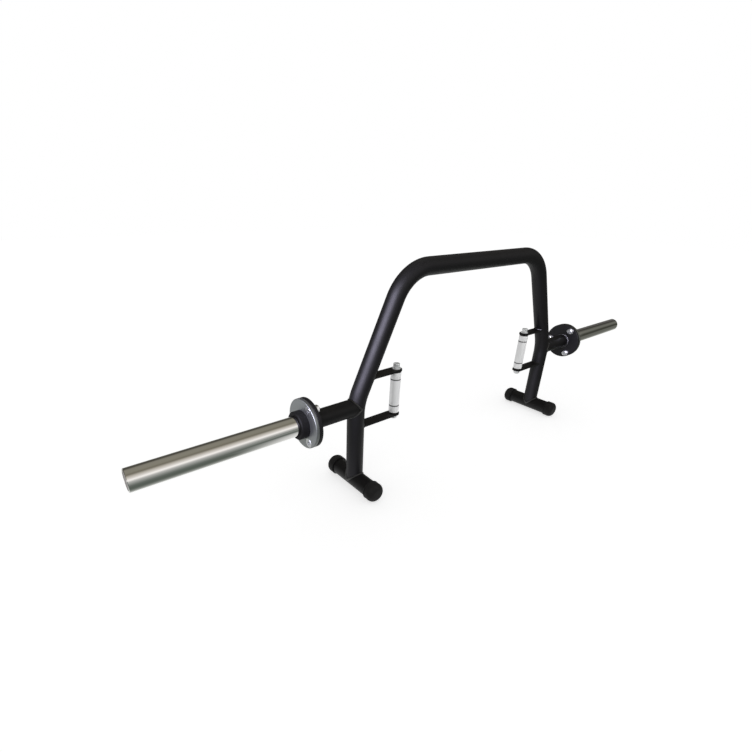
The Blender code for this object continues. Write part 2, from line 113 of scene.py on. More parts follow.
# Sizes that the frame's boxes don't give, in metres
KNEE_Z = SLEEVE_Z + 0.0115
KNEE_RADIUS = 0.150
SHOULDER_X = 0.287
SHOULDER_RADIUS = 0.120
TUBE_WALL = 0.003
GRIP_WALL = 0.0035
RING_DEPTH = 0.0012
CAP_EDGE = 0.016
SHANK_RADIUS = 0.006
THREAD_PITCH = 0.00175
THREAD_DEPTH = 0.0006
FLANGE_THREAD = 0.006
HANDLE_THREAD = 0.0165
NUT_FLATS = 0.018
NUT_EASE = 0.0012
NUT_SKIRT = 0.0032
NUT_SHOULDER = 0.004
NUT_CROWN = 0.0016
NUT_CROWN_SLOPE = 1.7
NUT_CORNER_EASE = 0.0001
NUT_TOP_INSET = 0.0007
NUT_MOUTH = 0.0006
THREAD_RUNOUT = 0.0006
SOCKET_FLATS = 0.010
SOCKET_DEPTH = 0.006
FLAT_SOCKET_FLATS = 0.008
FLAT_SOCKET_DEPTH = 0.0045
HEAD_HEIGHT = 0.012
HEAD_LAND = 0.001
KNURL_DEPTH = 0.00028
KNURL_WAVES = 24
# Plain bands of a knurled head, above its seat and below its face
KNURL_BANDS = (0.0010, 0.0014)
BEAD_RADIUS = 0.0026
BRACKET_BEAD_RADIUS = 0.0020
FLANGE_BEAD_RADIUS = 0.0033
RIPPLE_PITCH = 0.0026

# Gaps between pieces and small rounded edges, in metres
FIT = 0.0003
HOLE_PLAY = 0.0005
TUBE_EDGE = 0.0008
BRACKET_EDGE = 0.0008
STUB_PLATE_EDGE = 0.0012
SLEEVE_PLATE_EDGE = 0.0018
SLEEVE_CHAMFER = 0.0015
SLEEVE_EDGE = 0.0007
COLLAR_CHAMFER = 0.0025
COLLAR_EDGE = 0.0009
DISC_CHAMFER = 0.0004
DISC_RIM = 0.003
DISC_PLAY = FIT * 0.7
GRIP_EDGE = 0.0006
RING_EDGE = 0.0003
WASHER_EDGE = 0.0003
SPACER_EDGE = 0.0005
HEAD_CHAMFER = 0.0003
# A cutter reaches this far past what it cuts
THROUGH = 0.02
BRACKET_THROUGH = 0.01
PROUD = 0.001
SOCKET_PROUD = 0.002

# Outlines of small rims: distance inside the full radius, and distance from the end or face
NUT_RIM = ((0.0005, 0.0019), (0.0, 0.0014), (0.0, 0.0004), (0.0004, 0.0))
CAP_LIP = ((0.0006, 0.0045), (0.0013, 0.0040), (0.0013, 0.0032), (0.0, 0.0026), (0.0, 0.0010),
           (0.0009, 0.0))
CAP_MOUTH = 0.0006
HEAD_TOP = ((0.0012, 0.0), (0.0004, 0.0004), (0.0, 0.0013), (0.0, 0.0016))
HEAD_FOOT = ((0.0, 0.0012), (0.0, 0.0006), (0.0006, 0.0))
BOLT_END = ((0.0002, 0.0008), (0.0010, 0.0))

# Number of sides of each round piece, and of steps along a curve
TUBE_SIDES = WASHER_SIDES = 72
NUT_SIDES = GRIP_SIDES = CAP_SIDES = DISC_SIDES = 96
SLEEVE_SIDES = 128
FLANGE_SIDES = HEAD_SIDES = 144
BOLT_SIDES = 48
HOLE_SIDES = 40
BEAD_SIDES = 14
BEAD_STEPS = 280
BRACKET_BEAD_STEPS = 60
BRACKET_END_STEPS = 32
BRACKET_ROOT_STEPS = 16
CAP_EDGE_STEPS = 12
CROWN_STEPS = 8
THREAD_STEPS = 6

# Angles in degrees
BEND_STEP = 1.5
NEARLY_STRAIGHT = 80
SHARP_ANGLE = 34.0
BEAD_SHARP_ANGLE = 70.0
CAP_SHARP_ANGLE = 40.0
BRACKET_SHARP_ANGLE = 50.0

SIDES = (("left", -1), ("right", 1))
LEVELS = (("upper", 1), ("lower", -1))
TINY = 1e-7


# Node tools

NUMBER = "NodeSocketFloat"
COLOUR = "NodeSocketColor"
# A colour mix has inputs and outputs of the same names, so these go by number
MIX_COLOURS = ("i6", "i7")
MIX_RESULT = 2


def new_group(name, inputs, outputs, result=NUMBER):
    """Start a node group from its inputs' names and values and its outputs' names."""
    group = bpy.data.node_groups.new(name, "ShaderNodeTree")
    for label, value in inputs.items():
        kind = COLOUR if isinstance(value, tuple) else NUMBER
        socket = group.interface.new_socket(label, in_out="INPUT", socket_type=kind)
        socket.default_value = value
    for label in outputs:
        group.interface.new_socket(label, in_out="OUTPUT", socket_type=result)
    start = group.nodes.new("NodeGroupInput")
    end = group.nodes.new("NodeGroupOutput")
    return group, start, end


def add_node(tree, kind, settings=None, **sockets):
    """Add a shader node. A value that is a socket is linked, and i0 means the first input."""
    node = tree.nodes.new("ShaderNode" + kind)
    for key, value in (settings or {}).items():
        setattr(node, key, value)
    for key, value in sockets.items():
        by_number = key[0] == "i" and key[1:].isdigit()
        socket = node.inputs[int(key[1:]) if by_number else key.replace("_", " ")]
        if isinstance(value, bpy.types.NodeSocket):
            tree.links.new(value, socket)
        else:
            socket.default_value = value
    return node


def calculate(tree, operation, *values):
    """Result of an arithmetic step on sockets or plain numbers."""
    sockets = {"i%d" % number: value for number, value in enumerate(values)}
    return add_node(tree, "Math", {"operation": operation}, **sockets).outputs["Value"]


def product(tree, value, *others):
    for other in others:
        value = calculate(tree, "MULTIPLY", value, other)
    return value


def noise(tree, vector, scale, detail=2.0, roughness=0.5):
    return add_node(tree, "TexNoise", Vector=vector, Scale=scale, Detail=detail,
                    Roughness=roughness).outputs["Fac"]


def spread(tree, value, reach, out=(0.0, 1.0)):
    """Stretch a value from one range to another and hold it at the ends."""
    return add_node(tree, "MapRange", Value=value, From_Min=reach[0], From_Max=reach[1],
                    To_Min=out[0], To_Max=out[1]).outputs["Result"]


def blend(tree, share, one, two):
    """Mix two colours, each a socket or plain red, green and blue."""
    colours = [colour if isinstance(colour, bpy.types.NodeSocket) else (*colour, 1.0)
               for colour in (one, two)]
    return add_node(tree, "Mix", {"data_type": "RGBA"}, Factor=share,
                    **dict(zip(MIX_COLOURS, colours))).outputs[MIX_RESULT]


def object_place(tree):
    return add_node(tree, "TexCoord").outputs["Object"]


def surface_normal(tree):
    return add_node(tree, "NewGeometry").outputs["Normal"]


# Node groups that several finishes share

def grain_group():
    """Even small-scale unevenness of a sprayed or moulded skin."""
    group, start, end = new_group(
        "Skin Grain", {"Grain Scale": 900.0, "Drift Scale": 12.0, "Low": 0.4, "High": 0.5},
        ("Height", "Roughness"))
    place = object_place(group)
    grain = noise(group, place, start.outputs["Grain Scale"], detail=3.0, roughness=0.55)
    drift = noise(group, place, start.outputs["Drift Scale"], detail=4.0, roughness=0.6)
    change = spread(group, drift, (0.35, 0.65), (start.outputs["Low"], start.outputs["High"]))
    group.links.new(grain, end.inputs["Height"])
    group.links.new(change, end.inputs["Roughness"])
    return group


def turning_group():
    """Fine lines left by a lathe, which change along one distance only."""
    group, start, end = new_group(
        "Turning Lines", {"Distance": 0.0, "Line Scale": 1500.0, "Low": 0.1, "High": 0.2},
        ("Height", "Roughness"))
    along = add_node(group, "CombineXYZ", X=start.outputs["Distance"]).outputs["Vector"]
    fine = noise(group, along, start.outputs["Line Scale"], detail=3.0, roughness=0.6)
    broad = noise(group, along, scale=55.0)
    both = product(group, fine, broad)
    change = spread(group, both, (0.15, 0.36), (start.outputs["Low"], start.outputs["High"]))
    group.links.new(fine, end.inputs["Height"])
    group.links.new(change, end.inputs["Roughness"])
    return group


def dust_group():
    """Thin dust that settles on what faces up, broken by noise."""
    group, start, end = new_group(
        "Settled Dust",
        {"Colour": (0.02, 0.02, 0.02, 1.0), "Dust": (0.30, 0.29, 0.28, 1.0), "Amount": 0.05},
        ("Colour",), COLOUR)
    up = add_node(group, "SeparateXYZ", Vector=surface_normal(group)).outputs["Z"]
    facing = spread(group, up, (0.1, 1.0))
    speckle = noise(group, object_place(group), scale=45.0, detail=6.0, roughness=0.7)
    patches = spread(group, speckle, (0.45, 0.75), (0.1, 1.0))
    share = product(group, facing, patches, start.outputs["Amount"])
    colour = blend(group, share, start.outputs["Colour"], start.outputs["Dust"])
    group.links.new(colour, end.inputs["Colour"])
    return group


def scratch_group():
    """Hairline rubs along X where plates slide on and off."""
    group, start, end = new_group("Sliding Rubs", {"Amount": 0.1}, ("Mask",))
    place = object_place(group)
    stretch = add_node(group, "Mapping", Vector=place, Scale=(9.0, 520.0, 520.0))
    thin = spread(group, noise(group, stretch.outputs["Vector"], scale=1.0), (0.62, 0.72))
    patches = spread(group, noise(group, place, scale=7.0), (0.45, 0.6))
    mask = product(group, thin, patches, start.outputs["Amount"])
    group.links.new(mask, end.inputs["Mask"])
    return group


def edge_group():
    """Broken line of wear along the edges, found by rounding the surface's normal."""
    group, start, end = new_group("Worn Edges", {"Width": 0.0006, "Amount": 0.3}, ("Mask",))
    soft = add_node(group, "Bevel", {"samples": 4}, Radius=start.outputs["Width"])
    same = add_node(group, "VectorMath", {"operation": "DOT_PRODUCT"},
                    i0=surface_normal(group), i1=soft.outputs["Normal"])
    edge = spread(group, same.outputs["Value"], (0.995, 0.90))
    speckle = noise(group, object_place(group), scale=160.0, detail=4.0, roughness=0.65)
    broken = spread(group, speckle, (0.42, 0.62))
    mask = product(group, edge, broken, start.outputs["Amount"])
    group.links.new(mask, end.inputs["Mask"])
    return group


GRAIN = grain_group()
EDGES = edge_group()
TURNING = turning_group()
DUST = dust_group()
RUBS = scratch_group()


# Finishes. In each, rough is the least and the most roughness, and grain or lines is the scale
# and the depth in metres.

WORN_PAINT = (0.12, 0.12, 0.125)
SHEEN_DRIFT = 9.0
TINT_DRIFT = 6.0
DARKER = 0.94


def new_finish(name):
    material = bpy.data.materials.new(name)
    material.use_nodes = True
    tree = material.node_tree
    return material, tree, tree.nodes["Principled BSDF"]


def use_group(tree, group, **sockets):
    return add_node(tree, "Group", {"node_tree": group}, **sockets)


def raise_skin(tree, shader, height, distance):
    bump = add_node(tree, "Bump", Height=height, Distance=distance, Strength=1.0)
    tree.links.new(bump.outputs["Normal"], shader.inputs["Normal"])


def coated_finish(name, colour, rough, gloss, grain, dust=0.0, wear=0.0):
    """Skin with an even grain, a drifting sheen, a trace of dust and worn edges."""
    material, tree, shader = new_finish(name)
    skin = use_group(tree, GRAIN, Grain_Scale=grain[0], Drift_Scale=SHEEN_DRIFT, Low=rough[0],
                     High=rough[1])
    dusty = use_group(tree, DUST, Colour=(*colour, 1.0), Amount=dust)
    rubbed = use_group(tree, EDGES, Amount=wear)
    paint = blend(tree, rubbed.outputs["Mask"], dusty.outputs["Colour"], WORN_PAINT)
    tree.links.new(paint, shader.inputs["Base Color"])
    tree.links.new(skin.outputs["Roughness"], shader.inputs["Roughness"])
    shader.inputs["Specular IOR Level"].default_value = gloss
    raise_skin(tree, shader, skin.outputs["Height"], grain[1])
    return material


def plated_finish(name, colour, rough, along, lines, rubs=0.0, metallic=1.0):
    """Bare or plated metal with turning lines along the distance given."""
    material, tree, shader = new_finish(name)
    place = object_place(tree)
    turned = use_group(tree, TURNING, Distance=along(tree, place), Line_Scale=lines[0],
                       Low=rough[0], High=rough[1])
    roughness = turned.outputs["Roughness"]
    if rubs:
        mask = use_group(tree, RUBS, Amount=rubs)
        roughness = calculate(tree, "ADD", roughness, mask.outputs["Mask"])
    drift = noise(tree, place, TINT_DRIFT, detail=3.0, roughness=0.55)
    tint = blend(tree, drift, [value * DARKER for value in colour], colour)
    tree.links.new(tint, shader.inputs["Base Color"])
    tree.links.new(roughness, shader.inputs["Roughness"])
    shader.inputs["Metallic"].default_value = metallic
    raise_skin(tree, shader, turned.outputs["Height"], lines[1])
    return material


def along_bar(tree, place):
    return add_node(tree, "SeparateXYZ", Vector=place).outputs["X"]


def along_grip(tree, place):
    return add_node(tree, "SeparateXYZ", Vector=place).outputs["Z"]


def from_sleeve_axis(tree, place):
    """Distance from the axis that both sleeves share."""
    flat = add_node(tree, "Mapping", Vector=place, Location=(0.0, 0.0, -SLEEVE_Z),
                    Scale=(0.0, 1.0, 1.0))
    return add_node(tree, "VectorMath", {"operation": "LENGTH"},
                    i0=flat.outputs["Vector"]).outputs["Value"]


FINISHES = {
    "black_frame": coated_finish(
        "satin black powder coat", (0.0052, 0.0050, 0.0054), rough=(0.46, 0.54), gloss=0.20,
        grain=(1100.0, 0.00010), dust=0.010, wear=0.30),
    "black_weld": coated_finish(
        "weld under powder coat", (0.0056, 0.0054, 0.0058), rough=(0.32, 0.40), gloss=0.80,
        grain=(1400.0, 0.00006), dust=0.010),
    "black_collar": coated_finish(
        "semi-gloss black", (0.0120, 0.0118, 0.0132), rough=(0.50, 0.60), gloss=0.07,
        grain=(1600.0, 0.00005), dust=0.012, wear=0.05),
    "rubber": coated_finish(
        "moulded rubber", (0.0105, 0.0102, 0.0103), rough=(0.55, 0.68), gloss=0.16,
        grain=(2200.0, 0.00010), dust=0.03),
    "ring_black": coated_finish(
        "matt dark ring", (0.085, 0.085, 0.088), rough=(0.5, 0.6), gloss=0.3,
        grain=(2000.0, 0.00005)),
    "nylon": coated_finish(
        "black nylon", (0.02, 0.02, 0.02), rough=(0.35, 0.45), gloss=0.4,
        grain=(1500.0, 0.00004)),
    "chrome": plated_finish(
        "polished chrome plate", (0.80, 0.79, 0.77), rough=(0.025, 0.055),
        along=along_bar, lines=(2600.0, 0.000012), rubs=0.10),
    "zinc": plated_finish(
        "bright zinc plate", (0.84, 0.85, 0.86), rough=(0.28, 0.38),
        along=from_sleeve_axis, lines=(2400.0, 0.00001)),
    "satin_zinc": plated_finish(
        "satin zinc plate", (0.78, 0.79, 0.80), rough=(0.30, 0.40),
        along=along_grip, lines=(2400.0, 0.00001), metallic=0.60),
    "flange_steel": plated_finish(
        "turned grey steel", (0.200, 0.212, 0.200), rough=(0.42, 0.52),
        along=from_sleeve_axis, lines=(2400.0, 0.00004)),
    "bolt_steel": plated_finish(
        "bright bolt steel", (0.44, 0.45, 0.44), rough=(0.32, 0.44),
        along=from_sleeve_axis, lines=(2400.0, 0.00003)),
    # A darker, pinkish copy of the sleeve's metal, whose darkness paints shade at the sleeve's end
    "end_steel": plated_finish(
        "smoked end disc", (0.26, 0.22, 0.23), rough=(0.40, 0.50),
        along=from_sleeve_axis, lines=(2400.0, 0.00003)),
    "grip_metal": plated_finish(
        "satin silver grip", (0.90, 0.90, 0.91), rough=(0.36, 0.46),
        along=along_grip, lines=(2600.0, 0.00002), metallic=0.30),
}


# Mesh tools

def add_object(name, data):
    obj = bpy.data.objects.new(name, data)
    bpy.context.scene.collection.objects.link(obj)
    return obj


def add_mesh(name, verts, faces):
    mesh = bpy.data.meshes.new(name)
    mesh.from_pydata(verts, [], faces)
    return add_object(name, mesh)


def raw_object(name, verts, faces):
    """A closed mesh that still has to be cut or dressed."""
    obj = add_mesh(name, verts, faces)
    shape = bmesh.new()
    shape.from_mesh(obj.data)
    bmesh.ops.recalc_face_normals(shape, faces=shape.faces)
    shape.to_mesh(obj.data)
    shape.free()
    return obj


def dress(obj, slot, node=None, body="frame", sharp_angle=SHARP_ANGLE, finish=None):
    """Give a piece its finish, and say what it rides on and which node it stands for."""
    mesh = obj.data
    mesh.materials.clear()
    mesh.materials.append(FINISHES[finish or slot])
    mesh.shade_smooth()
    mesh.set_sharp_from_angle(angle=math.radians(sharp_angle))
    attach(obj, body)
    if node:
        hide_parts(node)


def add_piece(name, verts, faces, slot, node=None, **rest):
    """Make a closed mesh into a finished piece."""
    dress(raw_object(name, verts, faces), slot, node, **rest)


def cut(obj, cutter_verts, cutter_faces):
    """Cut one closed mesh out of a piece, before it is dressed."""
    cutter = raw_object("cutter", cutter_verts, cutter_faces)
    modifier = obj.modifiers.new("Cut", "BOOLEAN")
    modifier.operation = "DIFFERENCE"
    modifier.solver = "EXACT"
    modifier.object = cutter
    bpy.context.view_layer.update()
    evaluated = obj.evaluated_get(bpy.context.evaluated_depsgraph_get())
    result = bpy.data.meshes.new_from_object(evaluated)
    obj.modifiers.clear()
    obj.data = result
    bpy.data.objects.remove(cutter, do_unlink=True)


def standing(x, y, z, axis=(0, 0, 1)):
    """A place whose own Z axis points along the given axis."""
    turned = Vector((0, 0, 1)).rotation_difference(Vector(axis)).to_matrix().to_4x4()
    return Matrix.Translation((x, y, z)) @ turned


def circle(count):
    """Cosine and sine of angles spread evenly round a circle."""
    angles = [math.tau * i / count for i in range(count)]
    return [(math.cos(angle), math.sin(angle)) for angle in angles]


def fillet(points, radius, closed=True, steps=4, side_share=0.45):
    """Round every corner of an outline, by less where its sides are short."""
    count = len(points)
    rounded = []
    for i, corner in enumerate(points):
        if not closed and i in (0, count - 1):
            rounded.append(corner)
            continue
        here = Vector(corner)
        back = Vector(points[i - 1]) - here
        ahead = Vector(points[(i + 1) % count]) - here
        half = back.angle(ahead) / 2
        if half > math.radians(NEARLY_STRAIGHT):
            rounded.append(corner)
            continue
        reach = min(radius / math.tan(half), back.length * side_share, ahead.length * side_share)
        start = here + back.normalized() * reach
        end = here + ahead.normalized() * reach
        for step in range(steps + 1):
            t = step / steps
            point = start.lerp(here, t).lerp(here.lerp(end, t), t)
            rounded.append((point.x, point.y))
    return rounded


def turn(profile, sides, place, closed=True, radius_at=None):
    """Turn an outline of (radius, height) points about the place's own Z axis."""
    verts = []
    rings = []
    for radius, height in profile:
        start = len(verts)
        count = 1 if radius < TINY else sides
        for i in range(count):
            angle = math.tau * i / sides
            reach = radius_at(radius, height, angle) if radius_at and count > 1 else radius
            spot = Vector((reach * math.cos(angle), reach * math.sin(angle), height))
            verts.append(place @ spot)
        rings.append(range(start, start + count))
    return verts, ring_faces(rings, closed)


def ring_faces(rings, closed):
    """Faces between neighbouring rings of vertices, where a ring may be a single point."""
    pairs = list(zip(rings, rings[1:]))
    if closed:
        pairs.append((rings[-1], rings[0]))
    faces = []
    for one, two in pairs:
        count = max(len(one), len(two))
        for i in range(count):
            j = (i + 1) % count
            corners = [one[i % len(one)], one[j % len(one)], two[j % len(two)], two[i % len(two)]]
            face = list(dict.fromkeys(corners))
            if len(face) > 2:
                faces.append(face)
    return faces


def capped_faces(rings):
    """Faces of an open row of rings, with both ends closed."""
    return ring_faces(rings, False) + [list(rings[0]), list(rings[-1])]


def rod(radius, low, high, sides, place):
    """Plain closed cylinder or, with few sides, prism."""
    outline = [(0, high), (radius, high), (radius, low), (0, low)]
    return turn(outline, sides, place, closed=False)


def rim(radius, base, rows, way=1):
    """Outline points from rows of distance inside a radius and distance from a base."""
    return [(radius - inset, base + way * rise) for inset, rise in rows]


def box_profile(outer, inner, low, high):
    return [(outer, high), (outer, low), (inner, low), (inner, high)]


# Arch tube

def arch_path():
    """Centre line of the arch, from the left foot to the right."""
    half = [Vector((LEG_X, 0, FOOT_Z)), Vector((LEG_X, 0, KNEE_Z)),
            Vector((SHOULDER_X, 0, ARCH_Z))]
    corners = [Vector((-point.x, 0, point.z)) for point in half] + half[::-1]
    radii = [KNEE_RADIUS, SHOULDER_RADIUS, SHOULDER_RADIUS, KNEE_RADIUS]
    points = [corners[0]]
    for before, corner, after, radius in zip(corners, corners[1:], corners[2:], radii):
        back = (before - corner).normalized()
        ahead = (after - corner).normalized()
        half_angle = back.angle(ahead) / 2
        centre = corner + (back + ahead).normalized() * radius / math.sin(half_angle)
        start = corner + back * radius / math.tan(half_angle)
        swing = math.pi - 2 * half_angle
        steps = math.ceil(math.degrees(swing) / BEND_STEP)
        for i in range(steps + 1):
            turned = Matrix.Rotation(-swing * i / steps, 3, back.cross(ahead))
            points.append(centre + turned @ (start - centre))
    points.append(corners[-1])
    return points


ARCH_PATH = arch_path()
LEG_PATH = [point for point in ARCH_PATH if point.x > 0]


def tube_lift(inset):
    """Height of a lying tube's surface above its middle, at a distance across it."""
    return math.sqrt(max(TUBE_RADIUS ** 2 - inset ** 2, 0.0))


def leg_surface_x(y, z, outward):
    """Where a level line at depth y and height z meets the right leg's outer or inner side."""
    bulge = tube_lift(y)
    edge = []
    befores = [LEG_PATH[0], *LEG_PATH]
    afters = [*LEG_PATH[1:], LEG_PATH[-1]]
    for before, point, after in zip(befores, LEG_PATH, afters):
        along = (after - before).normalized()
        side = Vector((-along.z, 0, along.x))
        edge.append(point + side * bulge * math.copysign(1, side.x * outward))
    for one, two in zip(edge, edge[1:]):
        low, high = sorted((one, two), key=lambda point: point.z)
        if low.z <= z <= high.z and high.z > low.z:
            return low.lerp(high, (z - low.z) / (high.z - low.z)).x
    return LEG_X + outward * bulge


def make_arch():
    """Bent tube, whose two ends are coped to the feet."""
    last = len(ARCH_PATH) - 1
    verts = []
    rings = []
    for i, point in enumerate(ARCH_PATH):
        along = (ARCH_PATH[min(i + 1, last)] - ARCH_PATH[max(i - 1, 0)]).normalized()
        across = Vector((-along.z, 0, along.x))
        start = len(verts)
        for cosine, sine in circle(TUBE_SIDES):
            spot = point + across * TUBE_RADIUS * cosine
            spot.y += TUBE_RADIUS * sine
            if i in (0, last):
                spot.z = FOOT_Z + tube_lift(abs(spot.x) - LEG_X)
            verts.append(spot)
        rings.append(range(start, start + TUBE_SIDES))
    add_piece("bent_tube", verts, capped_faces(rings), "black_frame", "arch_tube")


# Welds

BEAD_BLUNT = 0.25
BEAD_TAPER_STEPS = 6
RIPPLE_BOW = 1.1
RIPPLE_FLOOR = 0.93
RIPPLE_RISE = 0.13


def weld_bead(name, points, centre, radius, closed):
    """Rippled bead of weld along a line of points. An open one tapers at its ends."""
    length = 0.0
    verts = []
    rings = []
    count = len(points)
    for i, point in enumerate(points):
        before = points[i - 1] if closed or i else point
        after = points[(i + 1) % count] if closed or i < count - 1 else point
        along = (after - before).normalized()
        length += (point - before).length if i else 0.0
        out = point - centre
        out = (out - along * out.dot(along)).normalized()
        side = along.cross(out)
        end = 1.0 if closed else min(i, count - 1 - i) / BEAD_TAPER_STEPS
        size = radius * math.sin(math.pi / 2 * min(end + BEAD_BLUNT, 1.0))
        start = len(verts)
        for k in range(BEAD_SIDES):
            angle = math.tau * k / BEAD_SIDES
            phase = math.tau * length / RIPPLE_PITCH + RIPPLE_BOW * math.cos(2 * angle)
            reach = size * (RIPPLE_FLOOR + RIPPLE_RISE * abs(math.sin(phase / 2)))
            verts.append(point + (out * math.cos(angle) + side * math.sin(angle)) * reach)
        rings.append(range(start, start + BEAD_SIDES))
    faces = ring_faces(rings, True) if closed else capped_faces(rings)
    add_piece(name, verts, faces, "black_frame", sharp_angle=BEAD_SHARP_ANGLE,
              finish="black_weld")


def make_leg_welds(side, sign):
    """Beads from leg to foot, from stub arm to leg and from stub arm to flange."""
    saddle = []
    cope = []
    ring = []
    for cosine, sine in circle(BEAD_STEPS):
        reach = TUBE_RADIUS * cosine
        depth = TUBE_RADIUS * sine
        height = SLEEVE_Z + depth
        saddle.append(Vector((sign * (LEG_X + reach), depth, FOOT_Z + tube_lift(reach))))
        cope.append(Vector((sign * leg_surface_x(reach, height, 1), reach, height)))
        ring.append(Vector((sign * STUB_FLANGE[0], reach, height)))
    foot = Vector((sign * LEG_X, 0, FOOT_Z))
    knee = Vector((sign * LEG_X, 0, SLEEVE_Z))
    flange = Vector((sign * STUB_FLANGE[0], 0, SLEEVE_Z))
    weld_bead("foot_weld_" + side, saddle, foot, BEAD_RADIUS, True)
    weld_bead("stub_weld_" + side, cope, knee, BEAD_RADIUS, True)
    weld_bead("flange_weld_" + side, ring, flange, FLANGE_BEAD_RADIUS, True)


def make_stub(side, sign):
    """Stub arm, coped to the knee of the leg."""
    inner = []
    outer = []
    for cosine, sine in circle(TUBE_SIDES):
        y = TUBE_RADIUS * cosine
        z = SLEEVE_Z + TUBE_RADIUS * sine
        inner.append(Vector((sign * leg_surface_x(y, z, 1), y, z)))
        outer.append(Vector((sign * (STUB_FLANGE[0] - FIT), y, z)))
    faces = capped_faces([range(TUBE_SIDES), range(TUBE_SIDES, 2 * TUBE_SIDES)])
    add_piece("stub_tube_" + side, inner + outer, faces, "black_frame", "stub_arm_" + side)


# Feet

def make_foot(side, sign):
    place = standing(sign * LEG_X, 0, FOOT_Z, (0, 1, 0))
    profile = box_profile(TUBE_RADIUS, TUBE_RADIUS - TUBE_WALL, -FOOT_HALF, FOOT_HALF)
    add_piece("cross_tube_" + side, *turn(fillet(profile, TUBE_EDGE), TUBE_SIDES, place),
              "black_frame", "foot_tube_" + side)
    for end, facing in (("front", -1), ("back", 1)):
        make_cap(side, sign, end, facing)


def make_cap(side, sign, end, facing):
    """Rubber cap with a full round nose, a rolled lip and a flat tread."""
    depth = CAP_OUTER - CAP_INNER
    wall = CAP_OUTER - FOOT_HALF - FIT
    bore = TUBE_RADIUS + FIT
    corner = CAP_RADIUS - CAP_EDGE
    outline = [(0.0, 0.0)]
    for i in range(CAP_EDGE_STEPS + 1):
        angle = math.pi / 2 * (1 - i / CAP_EDGE_STEPS)
        outline.append((corner + CAP_EDGE * math.cos(angle), CAP_EDGE * (math.sin(angle) - 1)))
    outline += rim(CAP_RADIUS, -depth, CAP_LIP)
    outline += [(bore + CAP_MOUTH, -depth), (bore, CAP_MOUTH - depth), (bore, -wall), (0.0, -wall)]
    place = standing(sign * LEG_X, facing * CAP_OUTER, FOOT_Z, (0, facing, 0))
    verts, faces = turn(outline, CAP_SIDES, place, closed=False)
    for vert in verts:
        vert.z = max(vert.z, 0.0)
    node = "foot_cap_%s_%s" % (side, end)
    add_piece("rubber_cap_%s_%s" % (side, end), verts, faces, "rubber", node,
              sharp_angle=CAP_SHARP_ANGLE)


# Flanges, sleeves and collars

def bolt_spots(x, sign, facing):
    """Places of the three flange bolts, whose own Z axes lie along the bar."""
    return [standing(sign * x, BOLT_CIRCLE * cosine, SLEEVE_Z + BOLT_CIRCLE * sine, (facing, 0, 0))
            for cosine, sine in circle(3)]


def make_flanges(side, sign):
    place = standing(0, 0, SLEEVE_Z, (sign, 0, 0))
    low, high = STUB_FLANGE
    outline = [(0, high), (FLANGE_RADIUS, high), (FLANGE_RADIUS, low), (0, low)]
    outline = fillet(outline, STUB_PLATE_EDGE, closed=False)
    plate = raw_object("stub_plate_" + side, *turn(outline, FLANGE_SIDES, place, closed=False))
    for spot in bolt_spots(low, sign, sign):
        cut(plate, *rod(SHANK_RADIUS + HOLE_PLAY, -THROUGH, THROUGH, HOLE_SIDES, spot))
    dress(plate, "black_frame", "stub_flange_" + side)

    low, high = SLEEVE_FLANGE
    outline = box_profile(FLANGE_RADIUS, SLEEVE_RADIUS + FIT, low, high)
    outline = fillet(outline, SLEEVE_PLATE_EDGE)
    plate = raw_object("sleeve_plate_" + side, *turn(outline, FLANGE_SIDES, place))
    head = BOLT_HEAD_RADIUS + FIT
    shank = SHANK_RADIUS + FIT
    sink = [(0, PROUD), (head, PROUD), (head, -HEAD_LAND), (shank, -HEAD_LAND - head + shank),
            (shank, -THROUGH), (0, -THROUGH)]
    for spot in bolt_spots(high, sign, sign):
        cut(plate, *turn(sink, BOLT_SIDES, spot, closed=False))
    dress(plate, "zinc", "sleeve_flange_" + side, finish="flange_steel")


def make_sleeve(side, sign):
    """Chromed tube with its black stop collar and the disc that closes its end."""
    place = standing(0, 0, SLEEVE_Z, (sign, 0, 0))
    bore = PLUG_RADIUS + FIT
    outline = [(SLEEVE_RADIUS - SLEEVE_CHAMFER, SLEEVE_END),
               (SLEEVE_RADIUS, SLEEVE_END - SLEEVE_CHAMFER), (SLEEVE_RADIUS, SLEEVE_START),
               (bore, SLEEVE_START), (bore, SLEEVE_END)]
    add_piece("chrome_sleeve_" + side, *turn(fillet(outline, SLEEVE_EDGE), SLEEVE_SIDES, place),
              "chrome", "load_sleeve_" + side)

    low, high = COLLAR
    bore = SLEEVE_RADIUS + FIT
    outline = [(COLLAR_RADIUS - COLLAR_CHAMFER, high), (COLLAR_RADIUS, high - COLLAR_CHAMFER),
               (COLLAR_RADIUS, low), (bore, low), (bore, high)]
    add_piece("collar_" + side, *turn(fillet(outline, COLLAR_EDGE), SLEEVE_SIDES, place),
              "black_collar", "stop_collar_" + side)

    edge = PLUG_RADIUS + DISC_PLAY
    outline = [(0, PLUG_FACE), (edge - DISC_CHAMFER, PLUG_FACE), (edge, PLUG_FACE - DISC_CHAMFER),
               (edge, PLUG_FACE - DISC_RIM), (PLUG_RADIUS, PLUG_FACE - DISC_RIM),
               (PLUG_RADIUS, PLUG_FACE - PLUG_DEPTH), (0, PLUG_FACE - PLUG_DEPTH)]
    # The end disc takes a darker metal, which paints shade at the sleeve's end
    add_piece("end_disc_" + side, *turn(outline, DISC_SIDES, place, closed=False),
              "chrome", "sleeve_end_plug_" + side, finish="end_steel")


# Fasteners

def hexagon_reach(flats, angle):
    """Distance from a hexagon's middle to its side at an angle, from its size across flats."""
    turned = (angle + math.pi / 6) % (math.pi / 3) - math.pi / 6
    return flats / 2 / math.cos(turned)


def corner_radius(flats):
    return flats / 2 / math.cos(math.pi / 6)


